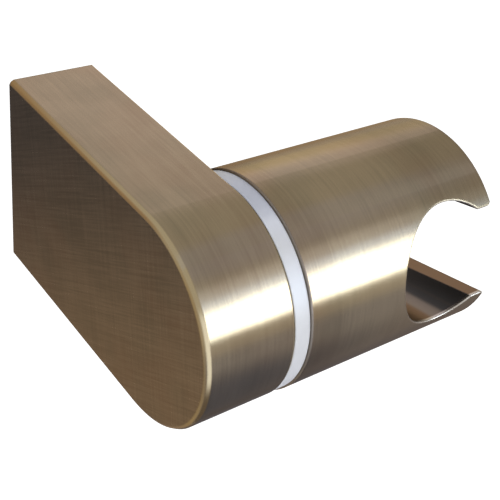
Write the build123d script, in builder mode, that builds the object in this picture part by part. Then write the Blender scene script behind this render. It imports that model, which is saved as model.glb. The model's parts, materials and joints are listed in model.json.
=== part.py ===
from build123d import *
import os
from math import cos, radians, sin

# Hand shower holder: a D-shaped wall base with a friction swivel that takes the cone of a shower hose.
# Millimetres. The wall is the plane y = 0, the object stands out to -Y, +Z is up, the swivel points to +X.

# Base housing
base_height = 40.0
base_flat = 48.0
base_width = 17.2
base_wall = 2.2
rim_bevel_depth = 0.9
rim_bevel_width = 0.5
rim_edge = 0.35
ring_side_edge = 0.3
ring_pad = 1.0
nut_boss_radius = 9.0
nut_boss_height = 5.0
grub_boss_radius = 5.0
grub_boss_height = 3.8
grub_from_wall = 7.0

# Friction ring
ring_setback = 0.15
ring_thickness = 3.0
ring_bore_radius = 5.0
land_radius = 18.6
land_height = 0.25
key_radius = 2.0
key_length = 2.8
key_from_pivot = 11.5
key_count = 2

# Swivel holder
swivel_radius = 20.2
swivel_length = 43.8
swivel_edge = 0.4
swivel_wall = 3.4
core_depth = 12.0
hub_radius = 9.5
hub_setback = 0.4

# Socket for the hose cone, cut across the swivel and open at its end
socket_from_end = 11.3
socket_large_radius = 11.6
socket_small_radius = 10.6
socket_tilt = 13.7
socket_edge = 0.25
slot_width = 17.4
slot_mouth_round = 1.2
cut_margin = 2.0

# Pivot screw, its washers, bush and nut
screw_radius = 3.0
screw_head_radius = 5.0
screw_head_height = 6.0
screw_head_recess = 3.0
screw_hex = 5.0
screw_hex_depth = 3.0
screw_edge = 0.6
screw_tip_gap = 0.5
washer_radius = 6.0
washer_thickness = 1.0
spring_thickness = 1.6
spring_radius = 5.9
spring_slit = 1.2
spring_slant = 2.0
bush_sleeve_radius = 4.0
bush_flange_thickness = 1.2
nut_hex = 10.0
nut_height = 6.0
nut_collar_height = 1.5
nut_collar_radius = 4.6

# Wall plate and grub screw
plate_thickness = 2.0
plate_tab_depth = 11.0
plate_bend = 1.0
plate_hole_radius = 2.2
plate_hole_spacing = 18.0
grub_radius = 2.0
grub_length = 6.0
grub_point_radius = 0.9
grub_seat_radius = 1.6
grub_hex = 2.0
grub_hex_depth = 2.5

# Clearances
running_clearance = 0.05
seat_clearance = 0.02
drill_clearance = 0.1
free_clearance = 0.3

# Places along the pivot axis, worked out from the sizes
base_radius = base_height / 2
base_face = base_width / 2
cavity_half_width = base_face - base_wall
cavity_radius = base_radius - base_wall
pad_face = cavity_half_width - ring_pad
nut_boss_end = pad_face - nut_boss_height
nut_seat = nut_boss_end + nut_height - nut_collar_height
ring_radius = base_radius - ring_setback
ring_face = base_face + ring_thickness
swivel_start = ring_face + land_height
swivel_end = swivel_start + swivel_length
hub_face = swivel_start + hub_setback
socket_x = swivel_end - socket_from_end
socket_radius = (socket_large_radius + socket_small_radius) / 2
head_face = socket_x - socket_radius - screw_head_recess
head_seat = head_face - screw_head_height
spring_seat = head_seat - spring_thickness
bush_flange_face = spring_seat - washer_thickness
bush_seat = bush_flange_face - bush_flange_thickness
head_bore_radius = washer_radius + free_clearance
screw_tip = screw_tip_gap - cavity_half_width

# Places of the wall plate and the grub screw
plate_half_width = cavity_half_width - free_clearance
plate_low = grub_boss_height - cavity_radius + free_clearance
plate_high = cavity_radius - drill_clearance
plate_middle = (plate_low + plate_high) / 2
grub_cone_start = plate_low - (grub_radius - grub_seat_radius) - seat_clearance
grub_point = grub_cone_start + grub_radius - grub_point_radius
grub_tail = grub_point - grub_length

# Axes and planes
pivot_y = -base_flat
pivot_axis = Axis((0, pivot_y, 0), (1, 0, 0))
pivot_section = Plane(origin=(0, pivot_y, 0), x_dir=(1, 0, 0), z_dir=(0, -1, 0))
grub_axis = Axis((0, -grub_from_wall, 0), (0, 0, 1))
grub_section = Plane(origin=(0, -grub_from_wall, 0), x_dir=(1, 0, 0), z_dir=(0, -1, 0))
socket_line = (0, -cos(radians(socket_tilt)), sin(radians(socket_tilt)))
socket_plane = Plane(origin=(socket_x, pivot_y, 0), x_dir=(1, 0, 0), z_dir=socket_line)


def pivot_plane(x):
    """Plane across the pivot axis at x, facing +X."""
    return Plane(origin=(x, pivot_y, 0), x_dir=(0, 1, 0), z_dir=(1, 0, 0))


def grub_plane(z):
    """Plane across the grub screw at height z, facing up."""
    return Plane(origin=(0, -grub_from_wall, z), x_dir=(1, 0, 0), z_dir=(0, 0, 1))


def base_outline(radius):
    """D-shaped outline: flat at the wall, round about the pivot axis."""
    with BuildLine() as outline:
        Line((0, radius), (pivot_y, radius))
        ThreePointArc((pivot_y, radius), (pivot_y - radius, 0), (pivot_y, -radius))
        Line((pivot_y, -radius), (0, -radius))
        Line((0, -radius), (0, radius))
    make_face(outline.edges())


def turned_outline(*points):
    """Half section of a turned piece, as (place along the pivot axis, radius) points."""
    with BuildLine() as outline:
        Polyline(*points, close=True)
    make_face(outline.edges())


def hexagon(across_flats):
    """Hexagon by its width across flats."""
    RegularPolygon(radius=across_flats / 2, side_count=6, major_radius=False)


# Base housing: a hollow casting with bevelled rims, open at the wall, thicker where ring and nut bear
with BuildPart() as base_housing:
    with BuildSketch(Plane.YZ.offset(-base_face)):
        base_outline(base_radius)
    extrude(amount=base_width)
    free_side = base_housing.faces().sort_by(Axis.X)[0]
    chamfer(free_side.edges().sort_by(Axis.Y)[:-1], rim_bevel_width, rim_bevel_depth, reference=free_side)
    free_side = base_housing.faces().sort_by(Axis.X)[0]
    chamfer(free_side.edges().sort_by(Axis.Y)[:-1], rim_edge)
    ring_side = base_housing.faces().sort_by(Axis.X)[-1]
    chamfer(ring_side.edges().sort_by(Axis.Y)[:-1], ring_side_edge)
    with BuildSketch(Plane.YZ.offset(-cavity_half_width)):
        base_outline(cavity_radius)
    extrude(amount=2 * cavity_half_width, mode=Mode.SUBTRACT)
    with BuildSketch(pivot_plane(pad_face)):
        Circle(cavity_radius + base_wall / 2)
    extrude(amount=ring_pad + base_wall / 2)
    with BuildSketch(pivot_plane(nut_boss_end)):
        Circle(nut_boss_radius)
    extrude(amount=nut_boss_height + ring_pad)
    with BuildSketch(pivot_plane(nut_boss_end)):
        hexagon(nut_hex + 2 * drill_clearance)
    extrude(amount=nut_seat - nut_boss_end, mode=Mode.SUBTRACT)
    with BuildSketch(pivot_plane(nut_seat)):
        Circle(screw_radius + drill_clearance)
    extrude(amount=base_face - nut_seat, mode=Mode.SUBTRACT)
    with BuildSketch(pivot_plane(pad_face)):
        with PolarLocations(key_from_pivot, key_count, start_angle=90):
            Circle(key_radius + drill_clearance)
    extrude(amount=base_face - pad_face, mode=Mode.SUBTRACT)
    with BuildSketch(grub_plane(-cavity_radius - base_wall / 2)):
        Circle(grub_boss_radius)
    extrude(amount=base_wall / 2 + grub_boss_height)
    with BuildSketch(grub_plane(-base_radius)):
        Circle(grub_radius + seat_clearance)
    extrude(amount=base_wall + grub_boss_height, mode=Mode.SUBTRACT)

# Wall plate: a bent bracket that the housing slips over, with a hole for the grub screw's point
with BuildPart() as wall_plate:
    with BuildSketch(Plane.YZ.offset(-plate_half_width)):
        with BuildLine():
            FilletPolyline(
                (-plate_tab_depth, plate_high - plate_thickness / 2),
                (-plate_thickness / 2, plate_high - plate_thickness / 2),
                (-plate_thickness / 2, plate_low + plate_thickness / 2),
                (-plate_tab_depth, plate_low + plate_thickness / 2),
                radius=plate_bend + plate_thickness / 2,
            )
        trace(line_width=plate_thickness)
    extrude(amount=2 * plate_half_width)
    with BuildSketch(Plane.XZ):
        with Locations((0, plate_middle)):
            with GridLocations(0, plate_hole_spacing, 1, 2):
                Circle(plate_hole_radius)
    extrude(amount=plate_thickness, mode=Mode.SUBTRACT)
    with BuildSketch(grub_plane(plate_low)):
        Circle(grub_seat_radius)
    extrude(amount=plate_thickness, mode=Mode.SUBTRACT)

# Grub screw: its cone point bears on the edge of the wall plate's hole
with BuildPart() as grub_screw:
    with BuildSketch(grub_section):
        turned_outline(
            (0, grub_tail),
            (grub_radius, grub_tail),
            (grub_radius, grub_cone_start),
            (grub_point_radius, grub_point),
            (0, grub_point),
        )
    revolve(axis=grub_axis)
    with BuildSketch(grub_plane(grub_tail)):
        hexagon(grub_hex)
    extrude(amount=grub_hex_depth, mode=Mode.SUBTRACT)

# Friction ring: two keys sit in the base, a raised land bears on the swivel's wall
with BuildPart() as friction_ring:
    with BuildSketch(pivot_section):
        turned_outline(
            (base_face, ring_bore_radius),
            (base_face, ring_radius),
            (ring_face, ring_radius),
            (ring_face, land_radius),
            (swivel_start, land_radius),
            (swivel_start, ring_bore_radius),
        )
    revolve(axis=pivot_axis)
    with BuildSketch(pivot_plane(base_face)):
        with PolarLocations(key_from_pivot, key_count, start_angle=90):
            Circle(key_radius)
    extrude(amount=-key_length)

# Swivel holder: turned hollow from the ring side, then milled across for the hose cone
with BuildPart() as swivel_holder:
    with BuildSketch(pivot_section):
        turned_outline(
            (hub_face, bush_sleeve_radius + seat_clearance),
            (hub_face, hub_radius),
            (swivel_start + core_depth, hub_radius),
            (swivel_start + core_depth, swivel_radius - swivel_wall),
            (swivel_start, swivel_radius - swivel_wall),
            (swivel_start, swivel_radius),
            (swivel_end, swivel_radius),
            (swivel_end, head_bore_radius),
            (bush_seat, head_bore_radius),
            (bush_seat, bush_sleeve_radius + seat_clearance),
        )
    revolve(axis=pivot_axis)
    end_rim = swivel_holder.faces().sort_by(Axis.X)[-1].edges().sort_by(SortBy.RADIUS)[-1]
    chamfer(end_rim, swivel_edge)
    socket_reach = swivel_radius + cut_margin
    socket_flare = (socket_large_radius - socket_small_radius) / (2 * swivel_radius) * socket_reach
    with Locations(socket_plane):
        Cone(
            socket_radius - socket_flare,
            socket_radius + socket_flare,
            2 * socket_reach,
            mode=Mode.SUBTRACT,
        )
    mouth_width = slot_width + 2 * (slot_mouth_round + cut_margin)
    with BuildSketch(socket_plane) as slot:
        Rectangle(socket_from_end, slot_width, align=(Align.MIN, Align.CENTER))
        with Locations((socket_from_end, 0)):
            Rectangle(cut_margin, mouth_width, align=(Align.MIN, Align.CENTER))
        mouth_corners = slot.vertices().group_by(Axis.X)[1].sort_by(Axis.Y)[1:-1]
        fillet(mouth_corners, slot_mouth_round)
    extrude(amount=socket_reach, both=True, mode=Mode.SUBTRACT)
    outer_face = swivel_holder.faces().filter_by(GeomType.CYLINDER).sort_by(SortBy.AREA)[-1]
    socket_rims = outer_face.edges().filter_by(GeomType.CIRCLE, reverse=True)
    socket_rims = socket_rims.filter_by(lambda edge: abs(edge.center().Y - pivot_y) > slot_width / 2)
    chamfer(socket_rims, socket_edge)

# Pivot bush: a flanged sleeve in the swivel
with BuildPart() as pivot_bush:
    with BuildSketch(pivot_section):
        turned_outline(
            (hub_face, screw_radius + running_clearance),
            (hub_face, bush_sleeve_radius),
            (bush_seat, bush_sleeve_radius),
            (bush_seat, washer_radius),
            (bush_flange_face, washer_radius),
            (bush_flange_face, screw_radius + running_clearance),
        )
    revolve(axis=pivot_axis)

# Flat washer on the bush's flange
with BuildPart() as flat_washer:
    with BuildSketch(pivot_plane(bush_flange_face)):
        Circle(washer_radius)
        Circle(screw_radius + drill_clearance, mode=Mode.SUBTRACT)
    extrude(amount=washer_thickness)

# Spring washer under the head of the pivot screw, pressed flat, with its slanted slit
with BuildPart() as spring_washer:
    with BuildSketch(pivot_plane(spring_seat)):
        Circle(spring_radius)
        Circle(screw_radius + drill_clearance, mode=Mode.SUBTRACT)
    extrude(amount=spring_thickness)
    slit_start = pivot_y - (spring_slit + spring_slant) / 2
    with BuildSketch(Plane.XY):
        with BuildLine():
            Polyline(
                (spring_seat, slit_start),
                (spring_seat, slit_start + spring_slit),
                (head_seat, slit_start + spring_slit + spring_slant),
                (head_seat, slit_start + spring_slant),
                close=True,
            )
        make_face()
    extrude(amount=spring_radius, mode=Mode.SUBTRACT)

# Pivot screw: a socket head cap screw, turned from inside the socket
with BuildPart() as pivot_screw:
    with BuildSketch(pivot_plane(head_seat)):
        Circle(screw_head_radius)
    extrude(amount=screw_head_height)
    with BuildSketch(pivot_plane(head_seat)):
        Circle(screw_radius)
    extrude(amount=screw_tip - head_seat)
    chamfer(pivot_screw.faces().sort_by(Axis.X)[-1].edges(), screw_edge)
    with BuildSketch(pivot_plane(head_face)):
        hexagon(screw_hex)
    extrude(amount=-screw_hex_depth, mode=Mode.SUBTRACT)

# Lock nut: hexagon in the base's pocket, round collar towards the free end of the screw
with BuildPart() as lock_nut:
    with BuildSketch(pivot_plane(nut_seat)):
        hexagon(nut_hex)
    extrude(amount=nut_collar_height - nut_height)
    with BuildSketch(pivot_plane(nut_seat)):
        Circle(nut_collar_radius)
    extrude(amount=-nut_height)
    with BuildSketch(pivot_plane(nut_seat)):
        Circle(screw_radius + seat_clearance)
    extrude(amount=-nut_height, mode=Mode.SUBTRACT)

os.makedirs("parts", exist_ok=True)
pieces = {
    "base_housing": base_housing,
    "wall_plate": wall_plate,
    "grub_screw": grub_screw,
    "friction_ring": friction_ring,
    "swivel_holder": swivel_holder,
    "pivot_bush": pivot_bush,
    "flat_washer": flat_washer,
    "spring_washer": spring_washer,
    "pivot_screw": pivot_screw,
    "lock_nut": lock_nut,
}
for name, piece in pieces.items():
    piece.part.label = name
    export_step(piece.part, f"parts/{name}.step")
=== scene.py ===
import json
import math

import bpy
from mathutils import Matrix, Vector


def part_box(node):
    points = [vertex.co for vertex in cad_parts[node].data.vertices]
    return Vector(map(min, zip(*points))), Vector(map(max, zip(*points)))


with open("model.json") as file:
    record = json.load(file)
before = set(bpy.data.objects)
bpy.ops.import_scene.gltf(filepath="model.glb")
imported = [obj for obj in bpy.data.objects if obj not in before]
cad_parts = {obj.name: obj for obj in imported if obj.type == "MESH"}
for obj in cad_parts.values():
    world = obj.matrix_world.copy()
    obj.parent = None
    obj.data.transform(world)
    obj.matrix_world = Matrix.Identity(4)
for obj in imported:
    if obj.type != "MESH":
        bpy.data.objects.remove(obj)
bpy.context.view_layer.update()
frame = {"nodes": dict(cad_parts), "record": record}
scene = bpy.context.scene

# Places that the materials follow, in millimetres
MM = 1000.0
swivel_low, swivel_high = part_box("swivel_holder")
PIVOT_Y = MM * (swivel_low.y + swivel_high.y) / 2
SWIVEL_RADIUS = MM * (swivel_high.z - swivel_low.z) / 2
SWIVEL_START = MM * swivel_low.x
SWIVEL_MIDDLE = MM * (swivel_low.x + swivel_high.x) / 2
hose_socket = next(mount for mount in frame["record"]["mounts"] if mount["name"] == "hose_cone")
SOCKET_X = MM * hose_socket["pos_m"][0]
SLOT_NORMAL = Vector(hose_socket["axis"]).cross(Vector((1.0, 0.0, 0.0)))

# Edges are shaded as if rounded off, and bumps are this deep, in metres
EDGE_RADIUS = 0.0004
EDGE_SAMPLES = 6
BUMP_DEPTH = 0.00002


class Graph:
    """Adds nodes to one node tree."""

    def __init__(self, tree):
        self.tree = tree
        tree.nodes.clear()

    def add(self, kind, **settings):
        node = self.tree.nodes.new(kind)
        for name, value in settings.items():
            setattr(node, name, value)
        return node

    def feed(self, socket, value):
        if isinstance(value, bpy.types.NodeSocket):
            self.tree.links.new(value, socket)
        else:
            socket.default_value = value

    def show(self, shader, kind="ShaderNodeOutputMaterial"):
        """Links a shader to the output."""
        self.feed(self.add(kind).inputs["Surface"], shader.outputs[0])

    def math(self, operation, *values):
        node = self.add("ShaderNodeMath", operation=operation)
        for socket, value in zip(node.inputs, values):
            self.feed(socket, value)
        return node.outputs[0]

    def products(self, a, b, c, d):
        """a times b plus c times d."""
        return self.math("ADD", self.math("MULTIPLY", a, b), self.math("MULTIPLY", c, d))

    def length(self, a, b):
        return self.math("SQRT", self.products(a, a, b, b))

    def inverse(self, mask):
        return self.math("SUBTRACT", 1.0, mask)

    def vector(self, x, y, z):
        node = self.add("ShaderNodeCombineXYZ")
        for socket, value in zip(node.inputs, (x, y, z)):
            self.feed(socket, value)
        return node.outputs[0]

    def split(self, vector):
        node = self.add("ShaderNodeSeparateXYZ")
        self.feed(node.inputs[0], vector)
        return node.outputs[0], node.outputs[1], node.outputs[2]

    def ramp(self, value, low, high, to_low=0.0, to_high=1.0):
        """Smooth step of value from low to high."""
        node = self.add("ShaderNodeMapRange", interpolation_type="SMOOTHSTEP")
        names = ("Value", "From Min", "From Max", "To Min", "To Max")
        for name, number in zip(names, (value, low, high, to_low, to_high)):
            self.feed(node.inputs[name], number)
        return node.outputs[0]

    def noise(self, vector, scale, detail=2.0, roughness=0.5):
        node = self.add("ShaderNodeTexNoise")
        self.feed(node.inputs["Vector"], vector)
        node.inputs["Scale"].default_value = scale
        node.inputs["Detail"].default_value = detail
        node.inputs["Roughness"].default_value = roughness
        return node.outputs["Fac"]

    def blend(self, factor, a, b):
        """Colour or number between a and b."""
        if isinstance(a, tuple) or (isinstance(a, bpy.types.NodeSocket) and a.type == "RGBA"):
            node = self.add("ShaderNodeMix", data_type="RGBA")
            sockets = [s for s in node.inputs if s.type == "RGBA"]
            out = [s for s in node.outputs if s.type == "RGBA"][0]
        else:
            node = self.add("ShaderNodeMix", data_type="FLOAT")
            sockets = [s for s in node.inputs if s.type == "VALUE"][1:3]
            out = [s for s in node.outputs if s.type == "VALUE"][0]
        self.feed(node.inputs[0], factor)
        for socket, value in zip(sockets, (a, b)):
            self.feed(socket, value)
        return out


def beyond(place, offsets):
    """Both ends of a span, measured from a place."""
    return tuple(place + offset for offset in offsets)


def node_material(name):
    material = bpy.data.materials.new(name)
    material.use_nodes = True
    return material, Graph(material.node_tree)


def new_material(name):
    """Material, its graph and shader, the place in millimetres, and the normal with soft edges."""
    material, graph = node_material(name)
    shader = graph.add("ShaderNodeBsdfPrincipled")
    graph.show(shader)
    coords = graph.add("ShaderNodeTexCoord")
    scaled = graph.add("ShaderNodeVectorMath", operation="SCALE")
    graph.feed(scaled.inputs[0], coords.outputs["Object"])
    scaled.inputs["Scale"].default_value = MM
    rounded = graph.add("ShaderNodeBevel", samples=EDGE_SAMPLES)
    rounded.inputs["Radius"].default_value = EDGE_RADIUS
    return material, graph, shader, scaled.outputs[0], rounded.outputs[0]


def bump(graph, shader, normal, height, strength):
    node = graph.add("ShaderNodeBump")
    node.inputs["Strength"].default_value = strength
    node.inputs["Distance"].default_value = BUMP_DEPTH
    graph.feed(node.inputs["Height"], height)
    graph.feed(node.inputs["Normal"], normal)
    graph.feed(shader.inputs["Normal"], node.outputs[0])


# Antique brass tones
BRASS_DEEP = (0.170, 0.136, 0.084, 1.0)
BRASS_RED = (0.186, 0.134, 0.081, 1.0)
BRASS_LIGHT = (0.244, 0.188, 0.115, 1.0)
BRASS_RIM = (0.360, 0.285, 0.165, 1.0)
BRASS_WORN = (0.380, 0.335, 0.280, 1.0)
BRASS_BORE = (0.150, 0.121, 0.088, 1.0)
# Painted dark reflection, for the part of the bore beside the slot
BRASS_DARK_REFLECTION = (0.082, 0.078, 0.070, 1.0)
BRASS_SLOT = (0.130, 0.083, 0.050, 1.0)
# Painted shade, for the swivel's inner end in the gap by the ring
BRASS_SHADE = (0.150, 0.115, 0.090, 1.0)
BRASS_EDGE_TINT = (0.64, 0.58, 0.52, 1.0)
BRASS_ANISOTROPY = 0.7

# Brush lines: how often they change across and along, per millimetre, and their detail
FINE_LINES = (2.4, 0.07, 3.0)
BROAD_LINES = (0.6, 0.04, 2.0)
SIDE_LINES = (3.2, 0.07, 3.0)
LINE_ROUGHNESS = 0.6
LINE_BUMP = 0.05

# The two ways that the lines run on the base's sides, the share of the second, and their contrast
SIDE_BRUSH = math.radians(30.0)
SIDE_CROSS = math.radians(-78.0)
CROSS_SHARE = 0.4
SIDE_CONTRAST = 3.2
MIDDLE_GREY = 0.5

# Noise of the patina and of the hue, and what the lines and the patina give to the tone
PATINA_NOISE = (0.09, 3.0, 0.55)
HUE_NOISE = (0.06, 2.0)
HUE_SPAN = (0.38, 0.62)
FINE_SHARE, BROAD_SHARE, PATINA_SHARE = 0.45, 0.15, 0.40
TONE_SPAN = (0.25, 0.75)

# Tone along the swivel, in millimetres from its inner end and from its middle: darker near the inner end,
# painted light before the middle and painted shade past it
COLLAR_SPAN, COLLAR_TONE = (2.0, 12.0), -0.20
PAINTED_FADE_SPAN, PAINTED_LIGHT_NEAR, PAINTED_SHADE_FAR = (-2.0, 14.0), 0.08, -0.04

# Roughness of the brass, what the fine lines add, and the roughness of the bore and the swivel's inner end
BRASS_ROUGH, LINES_ROUGH = 0.19, 0.08
BORE_ROUGH, DARK_ROUGH, START_ROUGH = 0.30, 0.45, 0.6

# Spans of the masks by how far the normal leans
SIDE_LEAN = (0.86, 0.97)
BEVEL_LEAN = (0.04, 0.40)
RIM_LEAN = (0.80, 0.97)
SLOT_LEAN = (0.90, 0.97)
EDGE_SHARE = 0.8

# Spans of the masks in millimetres from the swivel's skin, its inner end and the socket's middle
SKIN_SPAN = (-0.8, -0.5)
START_SPAN = (0.3, 0.1)
SLOT_SPAN = (4.0, 5.0)

# Spans of the bore's tones, the painted dark reflection and the brown, as the cosine of the turn from the
# slot
DARK_REFLECTION_TURN = (0.17, 0.27)
BROWN_TURN = (0.02, -0.08)


def brushed(g, point, lines):
    """Noise drawn out along the second and third axis of point, with its lines across the first."""
    across, along, detail = lines
    stretched = [g.math("MULTIPLY", value, rate) for value, rate in zip(point, (across, along, along))]
    return g.noise(g.vector(*stretched), 1.0, detail, LINE_ROUGHNESS)


def slanted(g, y, z, angle):
    """Distance across lines that rise at an angle towards the front."""
    return g.products(y, math.sin(angle), z, math.cos(angle))


def socket_tone(g, x, across, z, ny, nz):
    """Colour in the socket, with a painted dark reflection in its part beside the slot, and the mask of
    that part.
    """
    facing_slot = g.products(ny, SLOT_NORMAL.y, nz, SLOT_NORMAL.z)
    slot = g.math("MULTIPLY", g.ramp(g.math("ABSOLUTE", facing_slot), *SLOT_LEAN),
                  g.ramp(x, *beyond(SOCKET_X, SLOT_SPAN)))
    ahead = g.math("SUBTRACT", x, SOCKET_X)
    aside = g.products(across, SLOT_NORMAL.y, z, SLOT_NORMAL.z)
    turn = g.math("DIVIDE", ahead, g.length(ahead, aside))
    # Painted dark reflection in the bore beside the slot
    dark_reflection = g.math("MULTIPLY", g.ramp(turn, *DARK_REFLECTION_TURN), g.inverse(slot))
    bore = g.blend(g.ramp(turn, *BROWN_TURN), BRASS_BORE, BRASS_SLOT)
    bore = g.blend(dark_reflection, bore, BRASS_DARK_REFLECTION)
    return g.blend(slot, bore, BRASS_SLOT), dark_reflection


def brass(name, turned):
    """Brushed antique brass. The lines run round the piece, and on its ends round the pivot or crossed."""
    material, g, shader, place, rounded = new_material(name)
    in_object = g.add("ShaderNodeVectorTransform", vector_type="NORMAL",
                      convert_from="WORLD", convert_to="OBJECT")
    g.feed(in_object.inputs[0], rounded)
    nx, ny, nz = g.split(in_object.outputs[0])
    x, y, z = g.split(place)
    across = g.math("SUBTRACT", y, PIVOT_Y)
    radius = g.length(across, z)
    steep = g.math("ABSOLUTE", nx)
    side = g.ramp(steep, *SIDE_LEAN)
    outer = g.inverse(side)

    if turned:
        end_fine = brushed(g, (radius, y, z), FINE_LINES)
        end_broad = brushed(g, (radius, y, z), BROAD_LINES)
        end_y, end_z = across, z
    else:
        slant = slanted(g, y, z, SIDE_BRUSH)
        cross = slanted(g, y, z, SIDE_CROSS)
        end_fine = g.blend(CROSS_SHARE, brushed(g, (slant, y, z), SIDE_LINES),
                           brushed(g, (cross, y, z), SIDE_LINES))
        end_fine = g.math("MULTIPLY_ADD", end_fine, SIDE_CONTRAST, MIDDLE_GREY * (1.0 - SIDE_CONTRAST))
        end_broad = brushed(g, (slant, y, z), BROAD_LINES)
        end_y, end_z = math.sin(SIDE_BRUSH), math.cos(SIDE_BRUSH)
    tangent = g.vector(outer, g.math("MULTIPLY", side, end_y), g.math("MULTIPLY", side, end_z))
    fine = g.blend(side, brushed(g, (x, y, z), FINE_LINES), end_fine)
    broad = g.blend(side, brushed(g, (x, y, z), BROAD_LINES), end_broad)
    patina = g.noise(place, *PATINA_NOISE)

    tone = g.products(fine, FINE_SHARE, broad, BROAD_SHARE)
    tone = g.math("ADD", tone, g.math("MULTIPLY", patina, PATINA_SHARE))
    if turned:
        tone = g.math("ADD", tone, g.ramp(x, *beyond(SWIVEL_START, COLLAR_SPAN), COLLAR_TONE, 0.0))
        # Painted light on the swivel's near half and painted shade on its far half
        tone = g.math("ADD", tone, g.ramp(x, *beyond(SWIVEL_MIDDLE, PAINTED_FADE_SPAN), PAINTED_LIGHT_NEAR, PAINTED_SHADE_FAR))
    hue = g.ramp(g.noise(place, *HUE_NOISE), *HUE_SPAN)
    colour = g.blend(g.ramp(tone, *TONE_SPAN), g.blend(hue, BRASS_DEEP, BRASS_RED), BRASS_LIGHT)
    rough = g.math("MULTIPLY_ADD", fine, LINES_ROUGH, BRASS_ROUGH)
    height = fine
    if turned:
        near_skin = g.ramp(radius, *beyond(SWIVEL_RADIUS, SKIN_SPAN))
        outward = g.math("DIVIDE", g.products(ny, across, nz, z), radius)
        inside = g.math("MULTIPLY", g.inverse(near_skin), outer)
        in_socket, dark_reflection = socket_tone(g, x, across, z, ny, nz)
        colour = g.blend(inside, colour, in_socket)
        rough = g.blend(inside, rough, g.blend(dark_reflection, BORE_ROUGH, DARK_ROUGH))
        # Painted shade at the swivel's inner end, in the gap by the ring
        shaded_start = g.ramp(x, *beyond(SWIVEL_START, START_SPAN))
        colour = g.blend(shaded_start, colour, BRASS_SHADE)
        rough = g.blend(shaded_start, rough, START_ROUGH)
        height = g.math("MULTIPLY", fine, g.inverse(inside))
        edge = g.math("MULTIPLY", near_skin, g.ramp(outward, *RIM_LEAN, 1.0, 0.0))
        edge_tone = BRASS_WORN
    else:
        edge = g.math("MULTIPLY", g.ramp(steep, *BEVEL_LEAN), outer)
        edge_tone = BRASS_RIM
    colour = g.blend(g.math("MULTIPLY", edge, EDGE_SHARE), colour, edge_tone)

    g.feed(shader.inputs["Base Color"], colour)
    g.feed(shader.inputs["Roughness"], rough)
    shader.inputs["Metallic"].default_value = 1.0
    shader.inputs["Anisotropic"].default_value = BRASS_ANISOTROPY
    shader.inputs["Specular Tint"].default_value = BRASS_EDGE_TINT
    g.feed(shader.inputs["Tangent"], tangent)
    bump(g, shader, rounded, height, LINE_BUMP)
    return material


# Plastics: pale and deep tone, least roughness, and the noise on both
ACETAL = ((0.80, 0.81, 0.84, 1.0), (0.74, 0.75, 0.78, 1.0), 0.38)
NYLON = ((0.72, 0.69, 0.60, 1.0), (0.64, 0.60, 0.51, 1.0), 0.35)
MOTTLE_NOISE = (0.35, 3.0)
GRAIN_NOISE = (9.0, 2.0)
GRAIN_ROUGH, GRAIN_BUMP = 0.12, 0.08
TRANSLUCENCE = 0.15
TRANSLUCENCE_RADIUS = (0.001, 0.001, 0.001)

# Steels: pale and deep tone, least roughness, and how often the clouds change per millimetre
ZINC = ((0.62, 0.63, 0.62, 1.0), (0.48, 0.49, 0.47, 1.0), 0.28, 0.5)
STAINLESS = ((0.56, 0.55, 0.53, 1.0), (0.44, 0.43, 0.42, 1.0), 0.2, 0.3)
STEEL_LINES = (8.0, 0.4, 3.0)
CLOUD_DETAIL = 3.0
STEEL_LINE_SHARE, CLOUD_SHARE = 0.4, 0.6
STEEL_SPAN = (0.3, 0.7)
STEEL_LINE_ROUGH, STEEL_LINE_BUMP = 0.15, 0.1


def plastic(name, pale, deep, rough):
    """Moulded plastic with a faint mottle and a fine grain."""
    material, g, shader, place, rounded = new_material(name)
    mottle = g.noise(place, *MOTTLE_NOISE)
    grain = g.noise(place, *GRAIN_NOISE)
    g.feed(shader.inputs["Base Color"], g.blend(mottle, deep, pale))
    g.feed(shader.inputs["Roughness"], g.math("ADD", rough, g.math("MULTIPLY", grain, GRAIN_ROUGH)))
    shader.inputs["Subsurface Weight"].default_value = TRANSLUCENCE
    shader.inputs["Subsurface Radius"].default_value = TRANSLUCENCE_RADIUS
    bump(g, shader, rounded, grain, GRAIN_BUMP)
    return material


def steel(name, pale, deep, rough, cloud_scale):
    """Bright or plated steel with turned lines round X and a cloudy surface."""
    material, g, shader, place, rounded = new_material(name)
    lines = brushed(g, g.split(place), STEEL_LINES)
    clouds = g.noise(place, cloud_scale, CLOUD_DETAIL)
    tone = g.products(lines, STEEL_LINE_SHARE, clouds, CLOUD_SHARE)
    g.feed(shader.inputs["Base Color"], g.blend(g.ramp(tone, *STEEL_SPAN), deep, pale))
    g.feed(shader.inputs["Roughness"], g.math("ADD", rough, g.math("MULTIPLY", lines, STEEL_LINE_ROUGH)))
    shader.inputs["Metallic"].default_value = 1.0
    bump(g, shader, rounded, lines, STEEL_LINE_BUMP)
    return material


finishes = {
    "base_housing": brass("brushed_brass_base", False),
    "swivel_holder": brass("brushed_brass_swivel", True),
    "friction_ring": plastic("white_acetal", *ACETAL),
    "pivot_bush": plastic("natural_nylon", *NYLON),
}
plated = steel("zinc_plate", *ZINC)
bright = steel("stainless_steel", *STAINLESS)
for node in ("wall_plate", "flat_washer", "lock_nut"):
    finishes[node] = plated
for node in ("grub_screw", "pivot_screw", "spring_washer"):
    finishes[node] = bright
for node, finish in finishes.items():
    for slot in frame["nodes"][node].material_slots:
        slot.material = finish

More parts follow.
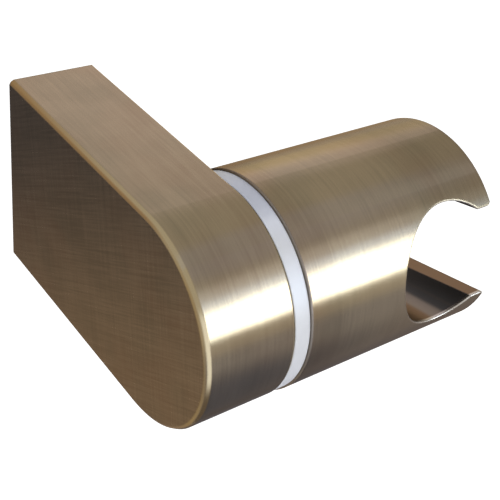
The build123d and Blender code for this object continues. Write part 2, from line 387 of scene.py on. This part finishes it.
# Camera at the photograph's angle
CAMERA_PLACE = Vector((-0.07764, -0.15326, 0.10704))
CAMERA_RIGHT = Vector((0.80506, -0.58102, 0.11955))
CAMERA_UP = Vector((0.26773, 0.53575, 0.80081))
CAMERA_AHEAD = Vector((0.52933, 0.61270, -0.58687))
SENSOR_WIDTH, LENS, CLIP_START = 36.0, 71.76, 0.01
camera_data = bpy.data.cameras.new("camera")
camera = bpy.data.objects.new("camera", camera_data)
scene.collection.objects.link(camera)
camera_data.sensor_width = SENSOR_WIDTH
camera_data.lens = LENS
camera_data.clip_start = CLIP_START
camera_matrix = Matrix((CAMERA_RIGHT, CAMERA_UP, -CAMERA_AHEAD)).transposed().to_4x4()
camera_matrix.translation = CAMERA_PLACE
camera.matrix_world = camera_matrix
scene.camera = camera

# Studio, in metres
CENTRE = Vector((0.02, -0.05, 0.0))
LAMP_DISTANCE = 0.7
WHITE = (1.0, 1.0, 1.0)


def direction(azimuth, elevation):
    """Unit vector; azimuth 0 is the front, -Y, and 90 is +X."""
    a, e = math.radians(azimuth), math.radians(elevation)
    return Vector((math.sin(a) * math.cos(e), -math.cos(a) * math.cos(e), math.sin(e)))


def softbox(name, azimuth, elevation, width, height, radiance, colour, in_gloss=True):
    """Area lamp that only shows in the gloss, or only gives diffuse light."""
    data = bpy.data.lights.new(name, "AREA")
    data.shape = "RECTANGLE"
    data.size = width
    data.size_y = height
    data.energy = math.pi * width * height * radiance
    data.color = colour
    lamp = bpy.data.objects.new(name, data)
    scene.collection.objects.link(lamp)
    towards = direction(azimuth, elevation)
    lamp.location = CENTRE + LAMP_DISTANCE * towards
    lamp.rotation_euler = towards.to_track_quat("Z", "Y").to_euler()
    lamp.visible_camera = False
    lamp.visible_diffuse = not in_gloss
    lamp.visible_glossy = in_gloss


# Name, azimuth, elevation, width, height, radiance and colour
softbox("key_softbox", 34.0, 12.5, 0.42, 0.290, 14.0, (0.68, 0.82, 1.0))
softbox("key_edge", 34.0, 28.0, 0.42, 0.086, 5.2, (0.40, 0.58, 1.0))
softbox("key_halo", 36.0, 36.5, 0.42, 0.123, 1.5, (0.60, 0.72, 1.0))
softbox("sky_panel", 65.0, 54.0, 0.40, 0.26, 0.36, (0.05, 0.20, 1.0))
softbox("key_fill", 20.0, 20.0, 0.50, 0.50, 3.3, WHITE, in_gloss=False)
softbox("back_panel_low", 146.0, 12.0, 0.52, 0.22, 0.76, (1.0, 0.93, 0.66))
softbox("back_panel_high", 148.0, 24.3, 0.50, 0.16, 1.3, (0.58, 0.57, 0.90))
softbox("back_panel_top", 148.0, 34.2, 0.50, 0.095, 0.62, (0.58, 0.57, 0.90))

# Strengths for rays that see a surface directly, and for its diffuse light
WORLD_STRENGTH = (1.0, 0.35)
FLOOR_STRENGTH = (0.8, 0.0)
CARD_STRENGTH = (1.25, 0.75)


def strength(graph, seen, diffuse):
    """One strength for rays from the camera, from gloss and through glass, and one for diffuse light."""
    path = graph.add("ShaderNodeLightPath")
    direct = graph.math("MAXIMUM", path.outputs["Is Camera Ray"], path.outputs["Is Glossy Ray"])
    direct = graph.math("MAXIMUM", direct, path.outputs["Is Transmission Ray"])
    return graph.math("MULTIPLY_ADD", direct, seen - diffuse, diffuse)


world = bpy.data.worlds.new("studio")
scene.world = world
world.use_nodes = True
g = Graph(world.node_tree)
background = g.add("ShaderNodeBackground")
background.inputs["Color"].default_value = (*WHITE, 1.0)
g.feed(background.inputs["Strength"], strength(g, *WORLD_STRENGTH))
g.show(background, "ShaderNodeOutputWorld")


def stage_object(name, vertices, faces, material):
    mesh = bpy.data.meshes.new(name)
    mesh.from_pydata(vertices, [], faces)
    mesh.materials.append(material)
    mesh.shade_smooth()
    item = bpy.data.objects.new(name, mesh)
    scene.collection.objects.link(item)
    return item


# Floor
FLOOR_TONE = (0.9, 0.9, 0.9, 1.0)
FLOOR_Z = -0.25
FLOOR_HALF = 8.0
FLOOR_SIGNS = ((-1, -1), (1, -1), (1, 1), (-1, 1))
QUAD = [(0, 1, 2, 3)]
floor_material, g = node_material("pale_floor")
matte = g.add("ShaderNodeBsdfDiffuse")
matte.inputs["Color"].default_value = FLOOR_TONE
glow = g.add("ShaderNodeEmission")
g.feed(glow.inputs["Strength"], strength(g, *FLOOR_STRENGTH))
both = g.add("ShaderNodeAddShader")
g.feed(both.inputs[0], matte.outputs[0])
g.feed(both.inputs[1], glow.outputs[0])
g.show(both)
floor_corners = [(FLOOR_HALF * i, FLOOR_HALF * j, FLOOR_Z) for i, j in FLOOR_SIGNS]
stage_object("floor", floor_corners, QUAD, floor_material)

# Tones of the reflector
FRONT_TONE, FRONT_LOW_TONE = (0.76, 0.80, 1.0, 1.0), (0.30, 0.36, 0.60, 1.0)
RIGHT_TONE, RIGHT_LOW_TONE = (0.74, 0.55, 0.33, 1.0), (0.34, 0.27, 0.21, 1.0)
RIGHT_BOTTOM_TONE = (0.27, 0.27, 0.31, 1.0)
LOW_LEFT_TONE = (0.31, 0.27, 0.25, 1.0)
LEFT_SIDE_TONE = (0.83, 0.71, 0.54, 1.0)
LEFT_BACK_TONE, LEFT_BACK_LOW_TONE = (0.22, 0.23, 0.32, 1.0), (0.74, 0.64, 0.60, 1.0)
LEFT_BACK_HIGH_TONE = (0.80, 0.60, 0.42, 1.0)
UPPER_RIGHT_TONE = (0.2, 0.2, 0.2, 1.0)
GLINT_TONE, GLINT_GAIN = (0.76, 0.84, 1.0, 1.0), 2.0

# Azimuths of the reflector's parts, with the spans of the cosine over which they fade in
RIGHT_BACK, RIGHT_BACK_SPAN = 140.0, (0.3, 0.85)
LEFT_SIDE, LEFT_SIDE_SPAN = -105.0, (0.75, 0.95)
LEFT_BACK, LEFT_BACK_SPAN = -150.0, (0.70, 0.96)
LOW_LEFT, LOW_LEFT_SPAN = -25.0, (0.6, 0.9)
GLINT, GLINT_SPAN = -20.0, (0.87, 0.96)
SLOPE, SLOPE_RISE = 135.0, 0.37
UPPER_RIGHT_SPAN = (0.58, 0.72)

# Heights on the unit sphere at which its tones change and its covers end
FRONT_LOW = (-0.52, -0.80)
RIGHT_LOW, RIGHT_BOTTOM = (-0.12, -0.5), (-0.6, -0.85)
LEFT_BACK_LOW, LEFT_BACK_HIGH = (-0.32, -0.72), (0.0, 0.2)
LOW_LEFT_HEIGHT = (-0.40, -0.55)
UPPER_RIGHT_HEIGHT = (0.0, 0.15)
GLINT_TOP, GLINT_FOOT = (0.52, 0.36), (-0.78, -0.50)
LOWER_COVER, RIGHT_COVER = (-0.12, -0.3), (0.06, -0.12)
LEFT_SIDE_COVER, LEFT_BACK_COVER = (0.3, 0.1), (0.7, 0.45)
UPPER_RIGHT_COVER = 0.25
POLE_RADIUS = 0.05

# Reflector round the object, seen only in the gloss
reflector_material, g = node_material("grey_reflector")
geometry = g.add("ShaderNodeNewGeometry")
offset = g.add("ShaderNodeVectorMath", operation="SUBTRACT")
g.feed(offset.inputs[0], geometry.outputs["Position"])
offset.inputs[1].default_value = CENTRE
unit = g.add("ShaderNodeVectorMath", operation="NORMALIZE")
g.feed(unit.inputs[0], offset.outputs[0])
dx, dy, dz = g.split(unit.outputs[0])
level = g.math("MAXIMUM", g.length(dx, dy), POLE_RADIUS)


def facing(azimuth):
    """Cosine of the turn from an azimuth."""
    towards = direction(azimuth, 0.0)
    return g.math("DIVIDE", g.products(dx, towards.x, dy, towards.y), level)


def masked(mask, span):
    """A part of the reflector within a span of heights."""
    return g.math("MULTIPLY", mask, g.ramp(dz, *span))


slope = g.math("ADD", dz, g.math("MULTIPLY", facing(SLOPE), SLOPE_RISE))
front_tone = g.blend(g.ramp(slope, *FRONT_LOW), FRONT_TONE, FRONT_LOW_TONE)
right_back = g.ramp(facing(RIGHT_BACK), *RIGHT_BACK_SPAN)
right_tone = g.blend(g.ramp(dz, *RIGHT_LOW), RIGHT_TONE, RIGHT_LOW_TONE)
right_tone = g.blend(g.ramp(dz, *RIGHT_BOTTOM), right_tone, RIGHT_BOTTOM_TONE)
left_side = g.ramp(facing(LEFT_SIDE), *LEFT_SIDE_SPAN)
left_back = g.ramp(facing(LEFT_BACK), *LEFT_BACK_SPAN)
left_tone = g.blend(g.ramp(dz, *LEFT_BACK_LOW), LEFT_BACK_TONE, LEFT_BACK_LOW_TONE)
left_tone = g.blend(g.ramp(dz, *LEFT_BACK_HIGH), left_tone, LEFT_BACK_HIGH_TONE)
low_left = masked(g.ramp(facing(LOW_LEFT), *LOW_LEFT_SPAN), LOW_LEFT_HEIGHT)
upper_right = masked(g.ramp(dx, *UPPER_RIGHT_SPAN), UPPER_RIGHT_HEIGHT)
glint = masked(masked(g.ramp(facing(GLINT), *GLINT_SPAN), GLINT_TOP), GLINT_FOOT)

tone = g.blend(right_back, front_tone, right_tone)
tone = g.blend(low_left, tone, LOW_LEFT_TONE)
tone = g.blend(left_side, tone, LEFT_SIDE_TONE)
tone = g.blend(left_back, tone, left_tone)
tone = g.blend(upper_right, tone, UPPER_RIGHT_TONE)
tone = g.blend(glint, tone, GLINT_TONE)
paint = g.add("ShaderNodeEmission")
g.feed(paint.inputs["Color"], tone)
g.feed(paint.inputs["Strength"], g.math("MULTIPLY_ADD", glint, GLINT_GAIN, 1.0))

cover = g.ramp(dz, *LOWER_COVER)
part_covers = (masked(left_side, LEFT_SIDE_COVER), masked(left_back, LEFT_BACK_COVER),
               masked(right_back, RIGHT_COVER), g.math("MULTIPLY", upper_right, UPPER_RIGHT_COVER), glint)
for part_cover in part_covers:
    cover = g.math("MAXIMUM", cover, part_cover)
clear = g.add("ShaderNodeBsdfTransparent")
mixed = g.add("ShaderNodeMixShader")
g.feed(mixed.inputs[0], cover)
g.feed(mixed.inputs[1], clear.outputs[0])
g.feed(mixed.inputs[2], paint.outputs[0])
g.show(mixed)

BOWL_RADIUS = 0.22
BOWL_TOP = 89.0
RINGS = 32
SECTORS = 64
bowl_points = []
for i in range(RINGS + 1):
    for j in range(SECTORS):
        elevation = BOWL_TOP - 2.0 * BOWL_TOP * i / RINGS
        bowl_points.append(CENTRE + BOWL_RADIUS * direction(360.0 * j / SECTORS, elevation))
bowl_faces = []
for i in range(RINGS):
    for j in range(SECTORS):
        k = (j + 1) % SECTORS
        bowl_faces.append((i * SECTORS + j, i * SECTORS + k, (i + 1) * SECTORS + k, (i + 1) * SECTORS + j))
bowl = stage_object("grey_reflector", bowl_points, bowl_faces, reflector_material)
bowl.visible_camera = False
bowl.visible_diffuse = False
bowl.visible_transmission = False
bowl.visible_shadow = False

# Card above the front of the base, which keeps the key lamps out of the base's flat top
CARD_TONE = (0.80, 0.84, 1.0, 1.0)
CARD_FORWARD = 0.012
CARD_SPAN = (0.0015, 0.045)
CARD_LEFT, CARD_RIGHT = -0.04, 0.12
CARD_Y = PIVOT_Y / MM - CARD_FORWARD
CARD_LOW, CARD_HIGH = beyond(swivel_high.z, CARD_SPAN)
card_material, g = node_material("pale_card")
card_glow = g.add("ShaderNodeEmission")
card_glow.inputs["Color"].default_value = CARD_TONE
g.feed(card_glow.inputs["Strength"], strength(g, *CARD_STRENGTH))
g.show(card_glow)
card_corners = [(CARD_LEFT, CARD_Y, CARD_LOW), (CARD_RIGHT, CARD_Y, CARD_LOW),
                (CARD_RIGHT, CARD_Y, CARD_HIGH), (CARD_LEFT, CARD_Y, CARD_HIGH)]
card = stage_object("pale_card", card_corners, QUAD, card_material)
card.visible_camera = False
card.visible_transmission = False

scene.view_settings.view_transform = "Standard"
